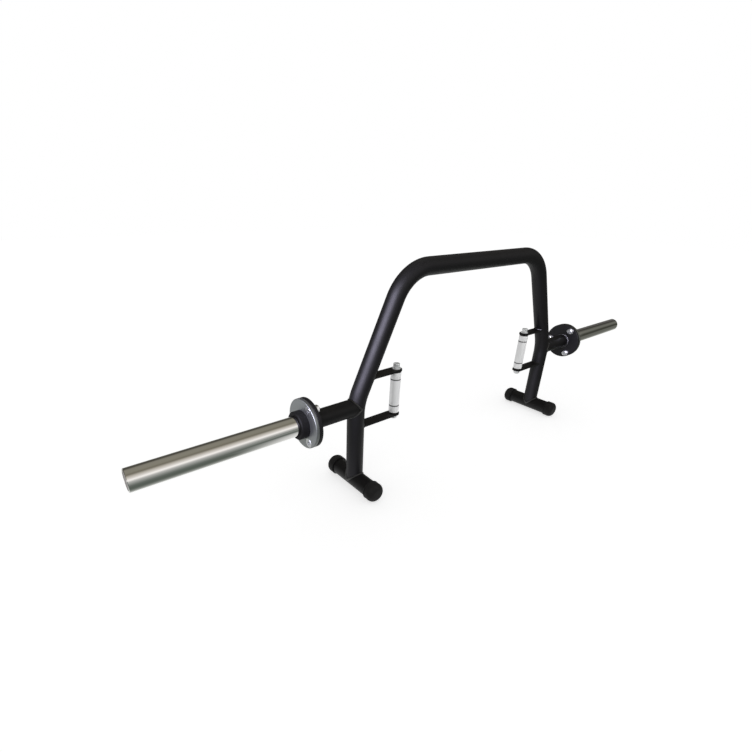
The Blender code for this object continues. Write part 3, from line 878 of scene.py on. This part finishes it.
def nut_shape(place):
    """Flanged nut whose corners are rounded off by a cone, with a round bore."""
    corner = corner_radius(NUT_FLATS)
    flange = NUT_FLANGE_RADIUS - NUT_EASE

    def reach(radius, level, angle):
        if radius != corner:
            return radius
        fall = max(level - (NUT_HEIGHT - NUT_CROWN), 0.0)
        cone = corner - NUT_CORNER_EASE - fall * NUT_CROWN_SLOPE
        return min(hexagon_reach(NUT_FLATS, angle), cone)

    outline = [(SHANK_RADIUS, NUT_HEIGHT - NUT_MOUTH), (SHANK_RADIUS + NUT_MOUTH, NUT_HEIGHT),
               (NUT_FLATS / 2 - NUT_TOP_INSET, NUT_HEIGHT)]
    for i in range(CROWN_STEPS + 1):
        outline.append((corner, NUT_HEIGHT - NUT_CROWN * i / CROWN_STEPS))
    outline += [(corner, NUT_HEIGHT - NUT_SHOULDER), (corner, NUT_SKIRT)]
    outline += rim(flange, 0.0, NUT_RIM)
    outline.append((SHANK_RADIUS, 0.0))
    return turn(outline, NUT_SIDES, place, radius_at=reach)


def zigzag(value):
    """1 at whole numbers, 0 half-way between them."""
    return abs(2 * (value - math.floor(value)) - 1)


def bolt_thread(top, end):
    """Radius along a shank whose thread starts at one height and runs out at another."""
    runout = end + THREAD_RUNOUT

    def radius(base, level, angle):
        if base != SHANK_RADIUS or not runout < level < top:
            return base
        turns = level / THREAD_PITCH + angle / math.tau
        return base - THREAD_DEPTH * zigzag(turns)
    return radius


def threaded_end(top, end):
    """Outline of a shank from the top of its thread to its chamfered end."""
    low = end + BOLT_END[0][1]
    count = math.ceil((top - low) / (THREAD_PITCH / THREAD_STEPS))
    rows = [(SHANK_RADIUS, top + (low - top) * i / count) for i in range(1, count)]
    return rows + rim(SHANK_RADIUS, end, BOLT_END) + [(0, end)]


def cut_socket(bolt, flats, face, depth, place):
    """Sink a hexagon socket into the face of a bolt's head."""
    cut(bolt, *rod(corner_radius(flats), face - depth, face + SOCKET_PROUD, 6, place))


def make_flange_fasteners(side, sign):
    head = BOLT_HEAD_RADIUS
    end = BOLT_TIP - SLEEVE_FLANGE[1]
    top = end + FLANGE_THREAD
    outline = [(0, 0.0), (head - HEAD_CHAMFER, 0.0), (head, -HEAD_CHAMFER), (head, -HEAD_LAND),
               (SHANK_RADIUS, -HEAD_LAND - head + SHANK_RADIUS), (SHANK_RADIUS, top)]
    outline += threaded_end(top, end)
    for number, spot in enumerate(bolt_spots(SLEEVE_FLANGE[1], sign, sign), 1):
        shape = turn(outline, BOLT_SIDES, spot, closed=False, radius_at=bolt_thread(top, end))
        bolt = raw_object("countersunk_bolt_%s_%d" % (side, number), *shape)
        cut_socket(bolt, FLAT_SOCKET_FLATS, 0, FLAT_SOCKET_DEPTH, spot)
        dress(bolt, "zinc", "flange_bolt_%s_%d" % (side, number), finish="bolt_steel")
    for number, spot in enumerate(bolt_spots(NUT_FOOT, sign, -sign), 1):
        add_piece("hexagon_nut_%s_%d" % (side, number), *nut_shape(spot), "zinc",
                  "flange_nut_%s_%d" % (side, number))


def make_handle_bolt(side, sign):
    """Knurled socket head bolt through both brackets, with its washer and nut."""
    end, face = span("handle_bolt_" + side, 2)
    place = standing(sign * HANDLE_X, 0, 0)
    seat = face - HEAD_HEIGHT
    top = end + HANDLE_THREAD
    thread = bolt_thread(top, end)

    def reach(radius, level, angle):
        if radius == HEAD_RADIUS and seat + KNURL_BANDS[0] < level < face - KNURL_BANDS[1]:
            return radius - KNURL_DEPTH * abs(math.sin(angle * KNURL_WAVES))
        return thread(radius, level, angle)

    outline = [(0, face), *rim(HEAD_RADIUS, face, HEAD_TOP, -1),
               *rim(HEAD_RADIUS, seat, HEAD_FOOT), (SHANK_RADIUS, seat), (SHANK_RADIUS, top)]
    outline += threaded_end(top, end)
    shape = turn(outline, HEAD_SIDES, place, closed=False, radius_at=reach)
    bolt = raw_object("socket_head_bolt_" + side, *shape)
    cut_socket(bolt, SOCKET_FLATS, face, SOCKET_DEPTH, place)
    dress(bolt, "zinc", "handle_bolt_" + side, finish="satin_zinc")

    low, high = span("handle_washer_" + side, 2)
    profile = box_profile(WASHER_RADIUS, SHANK_RADIUS + HOLE_PLAY, low, high)
    add_piece("flat_washer_" + side, *turn(fillet(profile, WASHER_EDGE), WASHER_SIDES, place),
              "zinc", "handle_washer_" + side, finish="satin_zinc")

    high = span("handle_nut_" + side, 2)[1]
    spot = standing(sign * HANDLE_X, 0, high, (0, 0, -1))
    add_piece("lower_nut_" + side, *nut_shape(spot), "zinc", "handle_nut_" + side,
              finish="satin_zinc")


# Brackets and grips

BEAD_SHARE = 0.98
BEAD_LIFT = 0.02


def make_bracket(side, sign, level):
    """Flat plate with a half-round end, coped to the leg and welded above and below."""
    node = "handle_bracket_%s_%s" % (side, level)
    low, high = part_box(node)
    half = (high[1] - low[1]) / 2
    outline = []
    for i in range(BRACKET_END_STEPS + 1):
        angle = -math.pi / 2 + math.pi * i / BRACKET_END_STEPS
        outline.append((HANDLE_X - half * math.cos(angle), half * math.sin(angle)))
    root = [half - 2 * half * i / BRACKET_ROOT_STEPS for i in range(BRACKET_ROOT_STEPS + 1)]
    verts = []
    for z in (low[2], high[2]):
        verts += [Vector((sign * x, y, z)) for x, y in outline]
        verts += [Vector((sign * leg_surface_x(y, z, -1), y, z)) for y in root]
    count = len(verts) // 2
    faces = capped_faces([range(count), range(count, 2 * count)])
    plate = raw_object("grip_plate_%s_%s" % (side, level), verts, faces)
    bevel = plate.modifiers.new("Edge", "BEVEL")
    bevel.width = BRACKET_EDGE
    bevel.segments = 3
    bevel.limit_method = "ANGLE"
    bevel.angle_limit = math.radians(BRACKET_SHARP_ANGLE)
    place = standing(sign * HANDLE_X, 0, 0)
    cut(plate, *rod(SHANK_RADIUS + HOLE_PLAY, low[2] - BRACKET_THROUGH, high[2] + BRACKET_THROUGH,
                    HOLE_SIDES, place))
    dress(plate, "black_frame", node)

    for face, z, lift in (("under", low[2], BEAD_LIFT), ("over", high[2], -BEAD_LIFT)):
        points = []
        for i in range(BRACKET_BEAD_STEPS + 1):
            y = half * BEAD_SHARE * (1 - 2 * i / BRACKET_BEAD_STEPS)
            points.append(Vector((sign * leg_surface_x(y, z, -1), y, z)))
        weld_bead("plate_weld_%s_%s_%s" % (side, level, face), points,
                  Vector((sign * LEG_X, 0, z + lift)), BRACKET_BEAD_RADIUS, False)


def make_grip(side, sign):
    """Satin tube with two dark rings let in, between black thrust washers."""
    body = side + "_grip"
    place = standing(sign * HANDLE_X, 0, GRIP_Z)
    groove = GRIP_RADIUS - RING_DEPTH
    bore = GRIP_RADIUS - GRIP_WALL
    outline = [(GRIP_RADIUS, GRIP_HALF)]
    for centre in (RING_RISE, -RING_RISE):
        high = centre + RING_HALF + FIT
        low = centre - RING_HALF - FIT
        outline += [(GRIP_RADIUS, high), (groove, high), (groove, low), (GRIP_RADIUS, low)]
    outline += [(GRIP_RADIUS, -GRIP_HALF), (bore, -GRIP_HALF), (bore, GRIP_HALF)]
    add_piece("grip_barrel_" + side, *turn(fillet(outline, GRIP_EDGE), GRIP_SIDES, place),
              "grip_metal", "grip_tube_" + side, body=body)
    for level, way in LEVELS:
        centre = way * RING_RISE
        profile = box_profile(GRIP_RADIUS, groove + FIT, centre - RING_HALF, centre + RING_HALF)
        node = "grip_ring_%s_%s" % (side, level)
        add_piece("dark_band_%s_%s" % (side, level),
                  *turn(fillet(profile, RING_EDGE), GRIP_SIDES, place), "ring_black", node,
                  body=body)
        node = "grip_spacer_%s_%s" % (side, level)
        low, high = (end - GRIP_Z for end in span(node, 2))
        profile = box_profile(SPACER_RADIUS, SHANK_RADIUS + FIT, low, high)
        add_piece("thrust_washer_%s_%s" % (side, level),
                  *turn(fillet(profile, SPACER_EDGE), WASHER_SIDES, place), "nylon", node)


def dress_bushes(side):
    """The bushes hidden in a grip keep their solids and get their finish."""
    for level, _ in LEVELS:
        bush = frame["nodes"]["grip_bush_%s_%s" % (side, level)]
        for slot in bush.material_slots:
            slot.material = FINISHES["nylon"]


# Camera and stage

CAMERA_PLACE = Vector((-1.0639, -0.7886, 0.7357))
CAMERA_LOOK = Vector((0.54172, 0.70900, -0.45150))
CAMERA_ROLL = math.radians(0.80)
CAMERA_SENSOR = 36.0
CAMERA_LENS = 20.534
CAMERA_SHIFT = (0.03694, 0.05084)
CAMERA_NEAR = 0.05
FLOOR_HALF = 9.0
FLOOR_GREY = (0.80, 0.80, 0.80, 1.0)
FLOOR_GLOW = 0.665
WORLD_LEVEL = 0.45
STAGE_NAMES = ("floor", "studio_tent", "floor_cloth")
# All but mirrored rays pass through the tent and the floor sheet, which glow only to paint
# reflections in the metal
HIDDEN_RAYS = ("camera", "diffuse", "transmission", "volume_scatter", "shadow")
TENT_RADIUS = 4.0
TENT_HALF = 10.0
TENT_EDGE = 94.0
TENT_SIDES = 64
REFLECTION_FLOOR_LEFT_END = -4.0
REFLECTION_FLOOR_HALF = 4.2
REFLECTION_FLOOR_LIFT = 0.002
# Along the bar, where the painted reflections of the tent and the floor sheet change from left to
# right
TENT_CHANGE = (3.5, 7.0)
REFLECTION_FLOOR_CHANGE = (0.6, 1.0)
# Metres from the middle, along and across the bar, over which the painted white reflection patch
# fades
REFLECTION_PATCH_FADE = (("X", (0.45, 0.70)), ("Y", (0.08, 0.38)))
WHITE = (1.0, 1.0, 1.0)
# Degrees from overhead towards the front, and the tent's glow colour there, which paints the bands
# of reflection in the chrome
TENT_REFLECTION_NEAR = (
    (-94, 0.17, 0.17, 0.15), (-78, 0.11, 0.106, 0.09), (-66, 0.08, 0.077, 0.065),
    (-56, 0.08, 0.077, 0.065), (-48, 0.13, 0.125, 0.104), (-41, 0.235, 0.225, 0.187),
    (-28, 0.275, 0.262, 0.218), (-2, 0.272, 0.258, 0.21), (9, 0.232, 0.218, 0.174),
    (17, 0.212, 0.197, 0.158), (24, 0.34, 0.318, 0.272), (33, 0.54, 0.508, 0.455),
    (44, 0.725, 0.69, 0.645), (54, 0.9, 0.865, 0.84), (62, 1.12, 1.09, 1.07),
    (69, 1.06, 1.04, 1.02), (76, 0.72, 0.715, 0.7), (85, 0.48, 0.485, 0.475),
    (94, 0.4, 0.412, 0.398),
)
# The same painted reflection bands, far along the bar to the right
TENT_REFLECTION_FAR = (
    (-94, 0.16, 0.16, 0.15), (-30, 0.11, 0.104, 0.1), (-12, 0.038, 0.038, 0.033),
    (12, 0.122, 0.124, 0.108), (32, 0.185, 0.186, 0.162), (52, 0.15, 0.154, 0.134),
    (70, 0.058, 0.06, 0.048), (94, 0.058, 0.062, 0.05),
)
# Metres from the bar towards the back, and the floor sheet's glow colour there, which paints the
# floor's reflection in the chrome
FLOOR_REFLECTION_LEFT = (
    (-4.2, 0.4, 0.412, 0.4), (-2.9, 0.4, 0.412, 0.4), (-0.9, 0.27, 0.288, 0.272),
    (-0.5, 0.165, 0.184, 0.168), (-0.32, 0.128, 0.148, 0.132), (-0.2, 0.116, 0.136, 0.118),
    (-0.12, 0.14, 0.16, 0.142), (-0.03, 0.29, 0.312, 0.288), (0.03, 0.44, 0.46, 0.44),
    (0.09, 0.8, 0.81, 0.8), (4.2, 0.9, 0.9, 0.9),
)
FLOOR_REFLECTION_RIGHT = (
    (-4.2, 0.075, 0.08, 0.066), (-2.0, 0.08, 0.084, 0.07), (-0.6, 0.155, 0.158, 0.14),
    (-0.25, 0.15, 0.154, 0.138), (-0.08, 0.215, 0.225, 0.2), (0.03, 0.42, 0.43, 0.4),
    (0.14, 0.85, 0.85, 0.84), (4.2, 0.9, 0.9, 0.9),
)


def make_camera():
    data = bpy.data.cameras.new("camera")
    data.sensor_width = CAMERA_SENSOR
    data.lens = CAMERA_LENS
    data.shift_x, data.shift_y = CAMERA_SHIFT
    data.clip_start = CAMERA_NEAR
    camera = add_object("camera", data)
    facing = CAMERA_LOOK.to_track_quat("-Z", "Y").to_matrix().to_4x4()
    camera.matrix_world = (Matrix.Translation(CAMERA_PLACE) @ facing
                           @ Matrix.Rotation(CAMERA_ROLL, 4, "Z"))
    bpy.context.scene.camera = camera


def stage_object(name, verts, faces):
    """An open mesh that isn't part of the bar."""
    obj = add_mesh(name, verts, faces)
    return obj


def flat_sheet(name, left, right, half, height):
    corners = [(left, -half, height), (right, -half, height), (right, half, height),
               (left, half, height)]
    return stage_object(name, corners, [(0, 1, 2, 3)])


def seen_white(tree):
    """1 where the eye, a mirror or glass looks straight at a surface."""
    path = add_node(tree, "LightPath")
    eye = calculate(tree, "MAXIMUM", path.outputs["Is Camera Ray"], path.outputs["Is Glossy Ray"])
    return calculate(tree, "MAXIMUM", eye, path.outputs["Is Transmission Ray"])


def make_floor():
    floor = flat_sheet("floor", -FLOOR_HALF, FLOOR_HALF, FLOOR_HALF, 0)
    material, tree, shader = new_finish("pale floor")
    for label, value in (("Base Color", FLOOR_GREY), ("Roughness", 1.0),
                         ("Specular IOR Level", 0.0), ("Emission Color", (*WHITE, 1.0))):
        shader.inputs[label].default_value = value
    glow = product(tree, seen_white(tree), FLOOR_GLOW)
    tree.links.new(glow, shader.inputs["Emission Strength"])
    floor.data.materials.append(material)


def glowing_reflection_sheet(obj, name):
    """Start a glowing finish that only shiny metal mirrors, for painted reflections."""
    for ray in HIDDEN_RAYS:
        setattr(obj, "visible_" + ray, False)
    material, tree, _ = new_finish(name)
    tree.nodes.clear()
    glow = add_node(tree, "Emission", Strength=1.0)
    add_node(tree, "OutputMaterial", Surface=glow.outputs["Emission"])
    obj.data.materials.append(material)
    place = add_node(tree, "SeparateXYZ", Vector=object_place(tree))
    return tree, glow, place


def banded(tree, value, bands):
    """Colour ramp over a table whose rows are a value, red, green and blue."""
    low, high = bands[0][0], bands[-1][0]
    ramp = add_node(tree, "ValToRGB", Fac=spread(tree, value, (low, high)))
    stops = ramp.color_ramp.elements
    stops[0].color = (*bands[0][1:], 1.0)
    stops[-1].color = (*bands[-1][1:], 1.0)
    for level, *colour in bands[1:-1]:
        stop = stops.new((level - low) / (high - low))
        stop.color = (*colour, 1.0)
    return ramp.outputs["Color"]


def make_tent():
    """Long studio tent over the bar, glowing in colour bands that only shiny metal mirrors:
    painted reflections for the chrome.
    """
    verts = []
    rings = []
    for x in (-TENT_HALF, TENT_HALF):
        start = len(verts)
        for i in range(TENT_SIDES + 1):
            angle = math.radians(TENT_EDGE) * (2 * i / TENT_SIDES - 1)
            verts.append((x, -TENT_RADIUS * math.sin(angle),
                          SLEEVE_Z + TENT_RADIUS * math.cos(angle)))
        rings.append(range(start, start + TENT_SIDES + 1))
    one, two = rings
    faces = [[one[i], one[i + 1], two[i + 1], two[i]] for i in range(TENT_SIDES)]
    faces += [list(one), list(two)]
    tree, glow, place = glowing_reflection_sheet(stage_object("studio_tent", verts, faces), "tent cloth")
    rise = calculate(tree, "SUBTRACT", place.outputs["Z"], SLEEVE_Z)
    front = product(tree, place.outputs["Y"], -1.0)
    degrees = calculate(tree, "DEGREES", calculate(tree, "ARCTAN2", front, rise))
    near = banded(tree, degrees, TENT_REFLECTION_NEAR)
    far = banded(tree, degrees, TENT_REFLECTION_FAR)
    share = spread(tree, place.outputs["X"], TENT_CHANGE)
    tree.links.new(blend(tree, share, near, far), glow.inputs["Color"])


def make_painted_reflection_floor():
    """Glowing sheet round the bar, darker towards the front and white inside the arch, that only
    shiny metal mirrors: painted reflections.
    """
    cloth = flat_sheet("floor_cloth", REFLECTION_FLOOR_LEFT_END, TENT_HALF, REFLECTION_FLOOR_HALF, REFLECTION_FLOOR_LIFT)
    tree, glow, place = glowing_reflection_sheet(cloth, "floor cloth")
    left = banded(tree, place.outputs["Y"], FLOOR_REFLECTION_LEFT)
    right = banded(tree, place.outputs["Y"], FLOOR_REFLECTION_RIGHT)
    shade = blend(tree, spread(tree, place.outputs["X"], REFLECTION_FLOOR_CHANGE), left, right)
    inside = []
    for axis, fade in REFLECTION_PATCH_FADE:
        away = calculate(tree, "ABSOLUTE", place.outputs[axis])
        inside.append(spread(tree, away, fade, (1.0, 0.0)))
    patch = product(tree, *inside)
    tree.links.new(blend(tree, patch, shade, WHITE), glow.inputs["Color"])


def make_world():
    world = bpy.data.worlds.new("studio")
    bpy.context.scene.world = world
    world.use_nodes = True
    tree = world.node_tree
    tree.nodes.clear()
    level = spread(tree, seen_white(tree), (0.0, 1.0), (WORLD_LEVEL, 1.0))
    sky = add_node(tree, "Background", Color=(*WHITE, 1.0), Strength=level)
    add_node(tree, "OutputWorld", Surface=sky.outputs["Background"])


# Lamps. The floor has the world's light alone.

GRIP_PIECES = ("grip_barrel_", "dark_band_", "socket_head_bolt_", "flat_washer_", "lower_nut_")
SOFTBOX_PIECES = ("bent_tube", "collar_", "stub_plate_", "sleeve_plate_left", "countersunk_bolt_",
                  "hexagon_nut_right", "flange_weld_", "plate_weld_right_upper")


def make_lamp(name, place, aim, size, power, colour=WHITE, shines_on="", mirrored=False):
    """Soft lamp for the pieces whose names start as given, either mirrored or diffuse."""
    data = bpy.data.lights.new(name, "AREA")
    data.shape = "RECTANGLE"
    data.size, data.size_y = size
    data.energy = power
    data.color = colour
    lamp = add_object(name, data)
    facing = (Vector(aim) - Vector(place)).to_track_quat("-Z", "Y").to_matrix().to_4x4()
    lamp.matrix_world = Matrix.Translation(place) @ facing
    lamp.visible_glossy = mirrored
    lamp.visible_diffuse = not mirrored
    lit = bpy.data.collections.new(name + "_pieces")
    for obj in bpy.data.objects:
        if obj.type == "MESH" and obj.name.startswith(shines_on) and obj.name not in STAGE_NAMES:
            lit.objects.link(obj)
    lamp.light_linking.receiver_collection = lit


def make_studio():
    make_camera()
    make_floor()
    make_tent()
    make_painted_reflection_floor()
    make_world()
    make_lamp("key", place=(-2.2, -1.6, 1.9), aim=(-0.3, 0, 0.35), size=(1.2, 1.2), power=30.0)
    make_lamp("top", place=(0.2, 0.3, 3.0), aim=(0, 0, 0.2), size=(2.4, 1.6), power=38.0)
    make_lamp("grip_fill", place=(0.6, -1.5, 0.9), aim=(0, 0, 0.33), size=(0.8, 0.8), power=14.0,
              shines_on=GRIP_PIECES)
    make_lamp("left_softbox", place=(-2.5, -0.85, 1.5), aim=(-0.38, 0, 0.42), size=(2.6, 1.0),
              power=370.0, colour=(0.80, 0.77, 1.0), shines_on=SOFTBOX_PIECES, mirrored=True)
    bpy.context.scene.view_settings.view_transform = "Standard"


make_arch()
for side, sign in SIDES:
    make_leg_welds(side, sign)
    make_stub(side, sign)
    make_foot(side, sign)
    make_flanges(side, sign)
    make_sleeve(side, sign)
    make_flange_fasteners(side, sign)
    make_bracket(side, sign, "upper")
    make_bracket(side, sign, "lower")
    make_handle_bolt(side, sign)
    make_grip(side, sign)
    dress_bushes(side)
make_studio()
